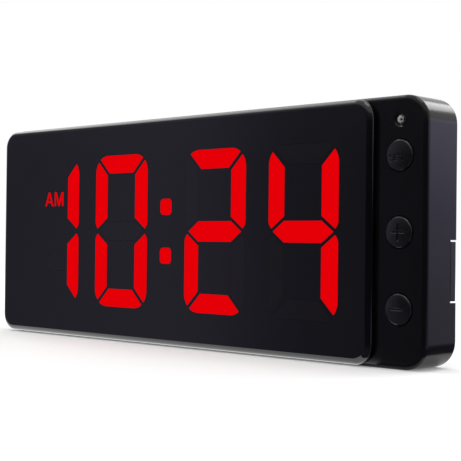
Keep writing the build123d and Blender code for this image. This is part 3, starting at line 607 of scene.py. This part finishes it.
def makeFloor():
    # pale matt floor that keeps the shadow, fading to the white of the backdrop further out
    material = bpy.data.materials.new("paleFloor")
    material.use_nodes = True
    tree = material.node_tree
    tree.nodes.clear()
    seen = rayIsSeen(tree)
    matt = addNode(tree, "ShaderNodeBsdfDiffuse", {"Color": hexToLinear(stage["tone"])}).outputs[0]
    lift = addNode(tree, "ShaderNodeMath", {"operation": "MULTIPLY", 1: stage["glow"]}, {0: seen}).outputs[0]
    glow = addNode(tree, "ShaderNodeEmission", None, {"Strength": lift}).outputs[0]
    near = addNode(tree, "ShaderNodeAddShader", None, {0: matt, 1: glow}).outputs[0]
    far = addNode(tree, "ShaderNodeEmission", None, {"Strength": seen}).outputs[0]
    place = addNode(tree, "ShaderNodeTexCoord").outputs["Object"]
    reach = addNode(tree, "ShaderNodeVectorMath", {"operation": "LENGTH"}, {0: place}).outputs["Value"]
    span = {"interpolation_type": "SMOOTHSTEP", "From Min": stage["fadeFrom"], "From Max": stage["fadeTo"]}
    fade = addNode(tree, "ShaderNodeMapRange", span, {"Value": reach}).outputs["Result"]
    whole = addNode(tree, "ShaderNodeMixShader", None, {0: fade, 1: near, 2: far}).outputs[0]
    addNode(tree, "ShaderNodeOutputMaterial", None, {"Surface": whole})
    side = stage["floor"]
    mesh = bpy.data.meshes.new("floor")
    corners = [(-side, -side, 0), (side, -side, 0), (side, side, 0), (-side, side, 0)]
    mesh.from_pydata(corners, [], [(0, 1, 2, 3)])
    mesh.materials.append(material)
    floor = bpy.data.objects.new("floor", mesh)
    bpy.context.scene.collection.objects.link(floor)


def cardMaterial(name, level, post, fade, stops, highTint=(1.0, 1.0, 1.0)):
    # glow graded by the compass bearing from a post, where bearing 0 is +X: from the right post each tone
    # stands upright in the face that mirrors it, on the floor as on the wall. Over the two heights of fade,
    # in metres, it turns to highTint, which is white where none is given and may be brighter than white
    material = bpy.data.materials.new(name)
    material.use_nodes = True
    tree = material.node_tree
    tree.nodes.clear()
    place = addNode(tree, "ShaderNodeTexCoord").outputs["Object"]
    toPost = {"Location": (-post[0], -post[1], 0.0)}
    moved = addNode(tree, "ShaderNodeMapping", toPost, {"Vector": place}).outputs[0]
    bearing = addNode(tree, "ShaderNodeTexGradient", {"gradient_type": "RADIAL"}, {"Vector": moved})
    ramp = addNode(tree, "ShaderNodeValToRGB", None, {"Fac": bearing.outputs["Fac"]})
    ramp.color_ramp.interpolation = "EASE"
    while len(ramp.color_ramp.elements) < len(stops):
        ramp.color_ramp.elements.new(1.0)
    for element, (degrees, colour) in zip(ramp.color_ramp.elements, stops):
        element.position = degrees / 360.0 + 0.5
        element.color = hexToLinear(colour)
    height = addNode(tree, "ShaderNodeSeparateXYZ", None, {"Vector": place}).outputs["Z"]
    span = {"From Min": fade[0], "From Max": fade[1]}
    rise = addNode(tree, "ShaderNodeMapRange", span, {"Value": height}).outputs[0]
    towards = {"data_type": "RGBA", 7: highTint + (1.0,)}
    tone = addNode(tree, "ShaderNodeMix", towards, {0: rise, 6: ramp.outputs[0]}).outputs[2]
    glow = addNode(tree, "ShaderNodeEmission", {"Strength": level}, {"Color": tone})
    addNode(tree, "ShaderNodeOutputMaterial", None, {"Surface": glow.outputs[0]})
    return material


def makeCard(name, rows, material):
    # a card between two rows of points, met by reflections only, as a photographer's flag or bounce is
    rows = np.array(rows)
    count = rows.shape[1]
    index = np.arange(2 * count).reshape(2, count)
    faces = np.stack([index[0, :-1], index[0, 1:], index[1, 1:], index[1, :-1]], -1)
    mesh = bpy.data.meshes.new(name)
    mesh.from_pydata(rows.reshape(-1, 3).tolist(), [], faces.tolist())
    mesh.materials.append(material)
    card = bpy.data.objects.new(name, mesh)
    bpy.context.scene.collection.objects.link(card)
    card.visible_camera = card.visible_diffuse = card.visible_shadow = card.visible_transmission = False


# metres, and bearings in degrees from +X. A fade gives two heights, sideTint is a colour, the levels are
# strengths, where 1 shows a grey as written, and steps is a count
cards = {
    "windowPost": (0.348, 0.3246), "sidePost": (-0.098, -0.348), "wallR": 1.2, "footZ": 0.0006, "steps": 37,
    "leftBearing": -172.0, "cornerBearing": -8.0, "backBearing": 80.0,
    "frontTop": 0.9, "sideTop": 0.34, "sideFloorR": 0.145, "sideTint": (1.45, 1.42, 1.95),
    "nearY": -0.024, "farY": -0.0088, "bandLift": 0.0004, "bandLeft": -0.6, "bandRight": 0.2,
    "nearSplit": 0.094, "farSplit": 0.103,
    "footLeft": 0.127, "footRight": 0.147, "footEndY": 0.07, "footLift": 0.0008,
    "greyLevel": 1.0, "bounceLevel": 2.1,
    "frontFade": (0.16, 2.2), "sideFade": (0.08, 0.29), "sideFloorFade": (0.05, 0.32), "evenFade": (1.0, 2.0),
}

# greys by bearing in degrees round the post of each card
frontGreys = [(-180, "#6d6a7b"), (-146, "#7b788a"), (-136, "#9a94ac"), (-129, "#716e80"),
              (-119, "#3c3b46"), (-60, "#33323a"), (-30, "#3a3944")]
sideGreys = [(0, "#3a3944"), (18, "#4a4856"), (32, "#d5d0e4"), (40, "#e2deec"),
             (50, "#c9c1e2"), (90, "#c9c1e2")]
sideFloorGreys = [(0, "#3a3944"), (18, "#4a4856"), (32, "#b5b0c6"), (90, "#b5b0c6")]


def evenTone(colour):
    # the same colour at every bearing
    return [(-180, colour), (180, colour)]


def arc(fromBearing, toBearing, radius, height):
    # a level arc about the origin, its bearings in degrees from +X
    angle = np.radians(np.linspace(fromBearing, toBearing, cards["steps"]))
    return np.column_stack([radius * np.cos(angle), radius * np.sin(angle), np.full(cards["steps"], height)])


def floorBand(near, far):
    # the two edges of a card just over the floor at the clock's front, each from one X to another
    return [[(x, cards["nearY"], cards["bandLift"]) for x in near],
            [(x, cards["farY"], cards["bandLift"]) for x in far]]


# where each stands and what it aims at, its width and height, all in metres, and its watts
lamps = {
    "topLeftBox": ((-1.1, 0.0, 1.15), (0.0, 0.0, 0.05), 1.2, 0.9, 6.0),
    "topBox": ((0.3, 0.1, 1.6), (0.0, 0.0, 0.05), 0.9, 0.6, 4.0),
    "rimBox": ((0.3, 1.15, 1.0), (0.05, 0.0, 0.05), 0.8, 0.5, 5.5),
}


def makeLamp(name, place, aim, width, height, power):
    # a soft box: an area lamp that faces its aim, power in watts
    lamp = bpy.data.lights.new(name, "AREA")
    lamp.shape = "RECTANGLE"
    lamp.size, lamp.size_y = width, height
    lamp.energy = power
    holder = bpy.data.objects.new(name, lamp)
    bpy.context.scene.collection.objects.link(holder)
    holder.location = place
    holder.rotation_euler = (Vector(aim) - Vector(place)).to_track_quat("-Z", "Y").to_euler()
    holder.visible_camera = False


def makeWorld(level):
    # level is the even white light on the object, and seen rays meet white
    world = bpy.data.worlds.new("studio")
    bpy.context.scene.world = world
    world.use_nodes = True
    tree = world.node_tree
    tree.nodes.clear()
    strength = addNode(tree, "ShaderNodeMapRange", {"To Min": level, "To Max": 1.0},
                       {"Value": rayIsSeen(tree)}).outputs["Result"]
    air = addNode(tree, "ShaderNodeBackground", {"Color": (1.0, 1.0, 1.0, 1.0)}, {"Strength": strength})
    addNode(tree, "ShaderNodeOutputWorld", None, {"Surface": air.outputs[0]})


def makeCards():
    # two curved walls with the floor before them, a white strip just over the floor that starts before the
    # window and ends under it, a grey one carrying on to its right, and a narrow grey one along the foot of
    # the right side. evenFade lies above the cards that have it, so they keep one tone
    c = cards
    windowPost, sidePost, foot = c["windowPost"], c["sidePost"], c["footZ"]
    grey, bright, even = c["greyLevel"], c["bounceLevel"], c["evenFade"]
    flagGrey = cardMaterial("flagGrey", grey, windowPost, c["frontFade"], frontGreys)
    sideGrey = cardMaterial("sideGrey", grey, sidePost, c["sideFade"], sideGreys, c["sideTint"])
    sideFloorGrey = cardMaterial("sideFloorGrey", grey, sidePost, c["sideFloorFade"], sideFloorGreys)
    bounceWhite = cardMaterial("bounceWhite", bright, windowPost, even, evenTone("#ffffff"))
    footGrey = cardMaterial("footGrey", grey, sidePost, even, evenTone("#4a4856"))
    front = arc(c["leftBearing"], c["cornerBearing"], c["wallR"], foot)
    frontTop = arc(c["leftBearing"], c["cornerBearing"], c["wallR"], c["frontTop"])
    floorEdge = front * (1.0, 0.0, 1.0) + (0.0, c["nearY"], 0.0)
    makeCard("frontFlag", [front, frontTop], flagGrey)
    makeCard("floorFlag", [front, floorEdge], flagGrey)
    side = arc(c["cornerBearing"], c["backBearing"], c["wallR"], foot)
    sideTop = arc(c["cornerBearing"], c["backBearing"], c["wallR"], c["sideTop"])
    sideFloor = arc(c["cornerBearing"], c["backBearing"], c["sideFloorR"], foot)
    makeCard("sideFlag", [side, sideTop], sideGrey)
    makeCard("sideFloorFlag", [side, sideFloor], sideFloorGrey)
    bounce = floorBand((c["bandLeft"], c["nearSplit"]), (c["bandLeft"], c["farSplit"]))
    beside = floorBand((c["nearSplit"], c["bandRight"]), (c["farSplit"], c["bandRight"]))
    makeCard("bounceStrip", bounce, bounceWhite)
    makeCard("stripFlag", beside, flagGrey)
    ends = (c["farY"], c["footEndY"])
    sides = [[(x, y, c["footLift"]) for y in ends] for x in (c["footLeft"], c["footRight"])]
    makeCard("footFlag", sides, footGrey)


makeFloor()
makeWorld(stage["sky"])
makeCards()
for lampName, setting in lamps.items():
    makeLamp(lampName, *setting)
print("stage set")

# millimetres for the sensor and lens, metres for near, far and place; turn's columns are right, up and back
eye = {"sensor": 36.0, "lens": 87.95, "near": 0.01, "far": 20.0, "place": (0.348057, -0.347919, 0.046038),
       "turn": ((0.729296, -0.001897, 0.684195),
                (0.684102, -0.014759, -0.729237),
                (0.011481, 0.999889, -0.009465))}


def makeCamera():
    camera = bpy.data.cameras.new("camera")
    camera.sensor_width, camera.lens = eye["sensor"], eye["lens"]
    camera.clip_start, camera.clip_end = eye["near"], eye["far"]
    viewer = bpy.data.objects.new("camera", camera)
    bpy.context.scene.collection.objects.link(viewer)
    viewer.matrix_world = Matrix.Translation(eye["place"]) @ Matrix(eye["turn"]).to_4x4()
    bpy.context.scene.camera = viewer


makeCamera()
bpy.context.scene.view_settings.view_transform = "Standard"
print("camera placed")
